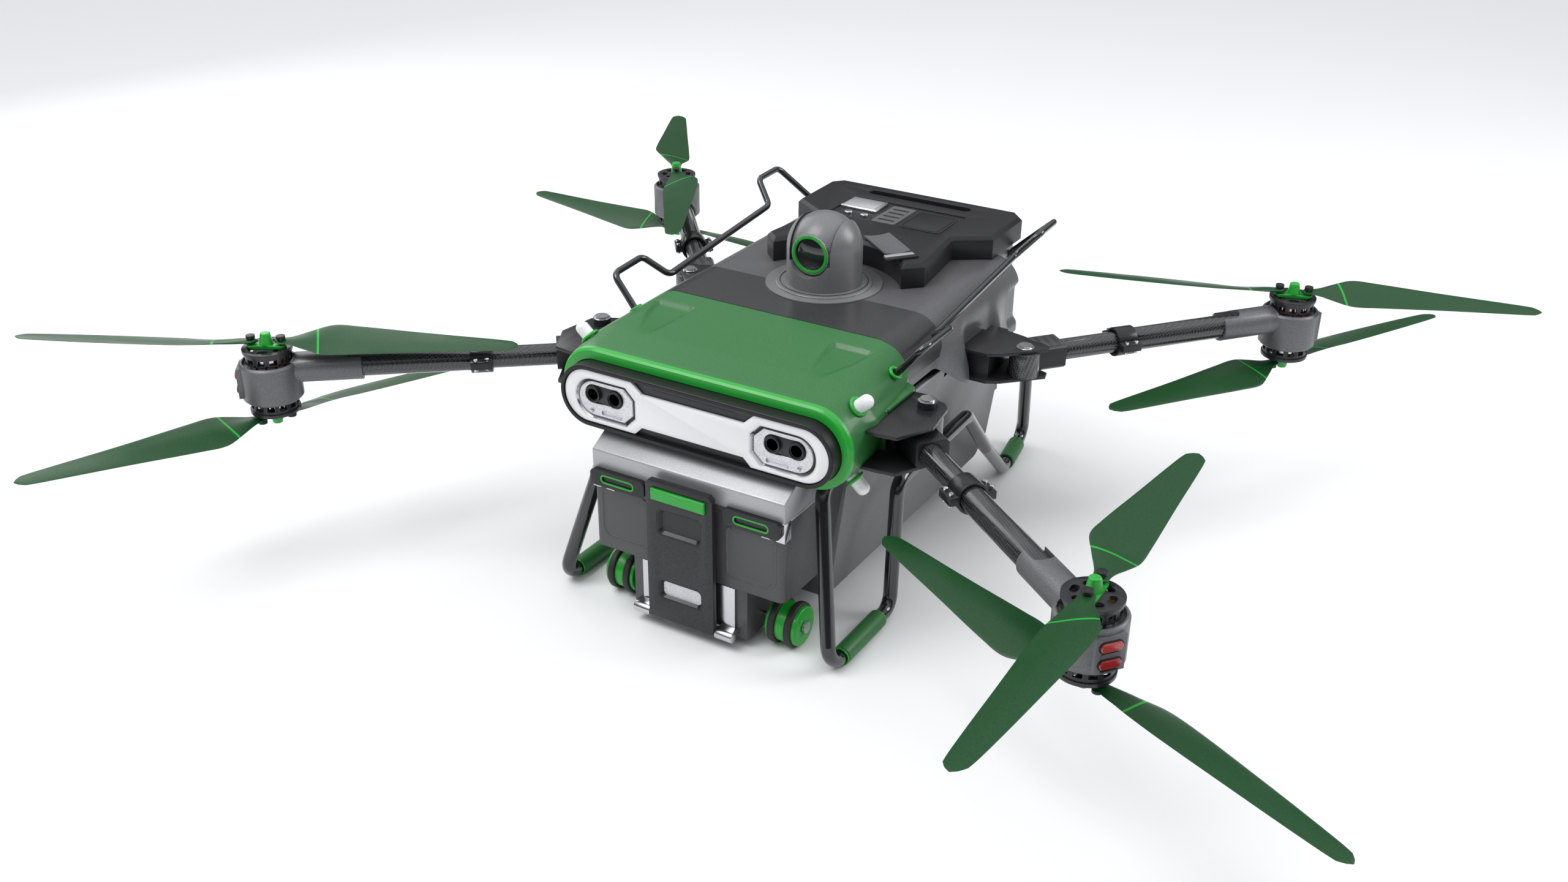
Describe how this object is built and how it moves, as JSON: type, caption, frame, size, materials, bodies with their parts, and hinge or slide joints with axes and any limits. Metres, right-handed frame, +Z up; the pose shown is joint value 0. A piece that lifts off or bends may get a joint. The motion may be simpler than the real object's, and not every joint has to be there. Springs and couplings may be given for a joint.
{
  "type": "agricultural spray drone",
  "caption": "Coaxial multirotor spray drone with folding carbon arms, landing skids, rolling front container, camera dome and lift-out battery.",
  "frame": {"origin": "on the ground under the middle of the rotors", "axes": "+X to the right of the drone, +Y to its rear, +Z up"},
  "size_m": [2.6248, 2.2959, 0.7065],
  "materials": {
    "green_shell": "satin green painted shell",
    "grey_shell": "grey speckled satin composite shell",
    "dark_deck": "dark satin deck",
    "hull_grey": "grey moulded tub",
    "black_housing": "black moulded housing",
    "white_panel": "white gloss panel",
    "silver_module": "bead-blasted silver",
    "lens_black": "black lens barrels",
    "cap_white": "white plastic",
    "black_tube": "gloss black tube",
    "green_sleeve": "green rubber sleeve",
    "chassis_black": "moulded carbon-fibre composite frame",
    "pin_steel": "turned steel",
    "dome_grey": "grey satin dome",
    "tank_plastic": "translucent tank plastic",
    "pump_grey": "pump body",
    "case_grey": "dark grey moulded case",
    "lid_silver": "silver grey satin lid",
    "latch_dark": "dark grey latch plate",
    "latch_green": "bright green button",
    "clip_black": "black clip",
    "wheel_green": "green wheel with black tyres",
    "pack_black": "black battery cap",
    "pack_trim": "silver display and grey pads",
    "arm_carbon": "woven carbon-fibre tube and black knuckle",
    "clamp_black": "black moulded collar with steel screws",
    "pod_grey": "grey satin motor housing",
    "rotor_green": "dark green composite blades on a black bell"
  },
  "bodies": {
    "fuselage": {"cowl": "green_shell", "upper_shell": "grey_shell", "deck_panel": "dark_deck", "lower_hull": "hull_grey", "bar_housing": "black_housing", "sensor_panel": "white_panel", "camera_modules": "silver_module", "camera_lenses": "lens_black", "antenna_caps": "cap_white", "spray_nozzles": "cap_white", "upper_rails": "black_tube", "landing_gear": "black_tube", "gear_sleeves": "green_sleeve", "chassis": "chassis_black", "hinge_pins": "pin_steel", "dome_base": "dome_grey", "liquid_tank": "tank_plastic", "spray_pump": "pump_grey", "flight_controller": "pump_grey", "rear_axle": "pin_steel"},
    "container": {"container_case": "case_grey", "container_lid": "lid_silver", "latch_hinge": "lid_silver", "front_axle": "pin_steel"},
    "latch": {"latch_plate": "latch_dark"},
    "latch_button": {"latch_button": "latch_green"},
    "clip_right": {"clip_right": "clip_black"},
    "clip_left": {"clip_left": "clip_black"},
    "camera_yoke": {"camera_yoke": "dome_grey"},
    "camera_eye": {"camera_eye": "dome_grey"},
    "battery_pack": {"pack_body": "pack_black", "pack_cells": "pack_black", "pack_display": "pack_trim"},
    "power_button": {"power_button": "pack_trim"},
    "check_button": {"check_button": "pack_trim"},
    "wheel_front_right": {"wheel_front_right": "wheel_green"},
    "wheel_front_left": {"wheel_front_left": "wheel_green"},
    "wheel_rear_right": {"wheel_rear_right": "wheel_green"},
    "wheel_rear_left": {"wheel_rear_left": "wheel_green"},
    "arm_front_right": {"arm_front_right": "arm_carbon", "arm_clamp_front_right": "clamp_black", "motor_pod_front_right": "pod_grey"},
    "rotor_front_right_upper": {"rotor_front_right_upper": "rotor_green"},
    "rotor_front_right_lower": {"rotor_front_right_lower": "rotor_green"},
    "arm_front_left": {"arm_front_left": "arm_carbon", "arm_clamp_front_left": "clamp_black", "motor_pod_front_left": "pod_grey"},
    "rotor_front_left_upper": {"rotor_front_left_upper": "rotor_green"},
    "rotor_front_left_lower": {"rotor_front_left_lower": "rotor_green"},
    "arm_rear_right": {"arm_rear_right": "arm_carbon", "arm_clamp_rear_right": "clamp_black", "motor_pod_rear_right": "pod_grey"},
    "rotor_rear_right_upper": {"rotor_rear_right_upper": "rotor_green"},
    "rotor_rear_right_lower": {"rotor_rear_right_lower": "rotor_green"},
    "arm_rear_left": {"arm_rear_left": "arm_carbon", "arm_clamp_rear_left": "clamp_black", "motor_pod_rear_left": "pod_grey"},
    "rotor_rear_left_upper": {"rotor_rear_left_upper": "rotor_green"},
    "rotor_rear_left_lower": {"rotor_rear_left_lower": "rotor_green"}
  },
  "joints": [
    {"name": "container_slide", "type": "slide", "parent": "fuselage", "child": "container", "axis": [0, -1, 0], "range_m": [0, 0.15]},
    {"name": "latch_swing", "type": "hinge", "parent": "container", "child": "latch", "pos_m": [0, -0.464, 0.03], "axis": [1, 0, 0], "range_deg": [0, 85]},
    {"name": "latch_button_press", "type": "slide", "parent": "latch", "child": "latch_button", "axis": [0, 1, 0], "range_m": [0, 0.004], "stiffness_N_per_m": 900},
    {"name": "clip_right_slide", "type": "slide", "parent": "container", "child": "clip_right", "axis": [1, 0, 0], "range_m": [0, 0.012]},
    {"name": "clip_left_slide", "type": "slide", "parent": "container", "child": "clip_left", "axis": [-1, 0, 0], "range_m": [0, 0.012]},
    {"name": "wheel_front_right_spin", "type": "hinge", "parent": "container", "child": "wheel_front_right", "pos_m": [0.187, -0.38, 0.046], "axis": [1, 0, 0], "continuous": true},
    {"name": "wheel_rear_right_spin", "type": "hinge", "parent": "fuselage", "child": "wheel_rear_right", "pos_m": [0.16, 0.483, 0.125], "axis": [1, 0, 0], "continuous": true},
    {"name": "wheel_front_left_spin", "type": "hinge", "parent": "container", "child": "wheel_front_left", "pos_m": [-0.187, -0.38, 0.046], "axis": [1, 0, 0], "continuous": true},
    {"name": "wheel_rear_left_spin", "type": "hinge", "parent": "fuselage", "child": "wheel_rear_left", "pos_m": [-0.16, 0.483, 0.125], "axis": [1, 0, 0], "continuous": true},
    {"name": "camera_pan", "type": "hinge", "parent": "fuselage", "child": "camera_yoke", "pos_m": [0, 0.0665, 0.6], "axis": [0, 0, 1], "range_deg": [-170, 170]},
    {"name": "camera_tilt", "type": "hinge", "parent": "camera_yoke", "child": "camera_eye", "pos_m": [0, 0.0665, 0.634], "axis": [1, 0, 0], "range_deg": [-25, 75]},
    {"name": "battery_lift", "type": "slide", "parent": "fuselage", "child": "battery_pack", "axis": [0, 0, 1], "range_m": [0, 0.16]},
    {"name": "power_button_press", "type": "slide", "parent": "battery_pack", "child": "power_button", "axis": [0, 0, -1], "range_m": [0, 0.003], "stiffness_N_per_m": 500},
    {"name": "check_button_press", "type": "slide", "parent": "battery_pack", "child": "check_button", "axis": [0, 0, -1], "range_m": [0, 0.003], "stiffness_N_per_m": 500},
    {"name": "arm_front_right_fold", "type": "hinge", "parent": "fuselage", "child": "arm_front_right", "pos_m": [0.369, -0.199, 0.43], "axis": [0, 0, 1], "range_deg": [0, 35]},
    {"name": "rotor_front_right_upper_spin", "type": "hinge", "parent": "arm_front_right", "child": "rotor_front_right_upper", "pos_m": [0.85948, -0.64063, 0.4], "axis": [0, 0, 1], "continuous": true},
    {"name": "rotor_front_right_lower_spin", "type": "hinge", "parent": "arm_front_right", "child": "rotor_front_right_lower", "pos_m": [0.85948, -0.64063, 0.4], "axis": [0, 0, 1], "continuous": true},
    {"name": "arm_front_left_fold", "type": "hinge", "parent": "fuselage", "child": "arm_front_left", "pos_m": [-0.369, -0.199, 0.43], "axis": [0, 0, -1], "range_deg": [0, 35]},
    {"name": "rotor_front_left_upper_spin", "type": "hinge", "parent": "arm_front_left", "child": "rotor_front_left_upper", "pos_m": [-0.85948, -0.64063, 0.4], "axis": [0, 0, 1], "continuous": true},
    {"name": "rotor_front_left_lower_spin", "type": "hinge", "parent": "arm_front_left", "child": "rotor_front_left_lower", "pos_m": [-0.85948, -0.64063, 0.4], "axis": [0, 0, 1], "continuous": true},
    {"name": "arm_rear_right_fold", "type": "hinge", "parent": "fuselage", "child": "arm_rear_right", "pos_m": [0.405, 0.176, 0.43], "axis": [0, 0, 1], "range_deg": [-36, 0]},
    {"name": "rotor_rear_right_upper_spin", "type": "hinge", "parent": "arm_rear_right", "child": "rotor_rear_right_upper", "pos_m": [0.79851, 0.70586, 0.4], "axis": [0, 0, 1], "continuous": true},
    {"name": "rotor_rear_right_lower_spin", "type": "hinge", "parent": "arm_rear_right", "child": "rotor_rear_right_lower", "pos_m": [0.79851, 0.70586, 0.4], "axis": [0, 0, 1], "continuous": true},
    {"name": "arm_rear_left_fold", "type": "hinge", "parent": "fuselage", "child": "arm_rear_left", "pos_m": [-0.405, 0.176, 0.43], "axis": [0, 0, -1], "range_deg": [-36, 0]},
    {"name": "rotor_rear_left_upper_spin", "type": "hinge", "parent": "arm_rear_left", "child": "rotor_rear_left_upper", "pos_m": [-0.79851, 0.70586, 0.4], "axis": [0, 0, 1], "continuous": true},
    {"name": "rotor_rear_left_lower_spin", "type": "hinge", "parent": "arm_rear_left", "child": "rotor_rear_left_lower", "pos_m": [-0.79851, 0.70586, 0.4], "axis": [0, 0, 1], "continuous": true}
  ]
}
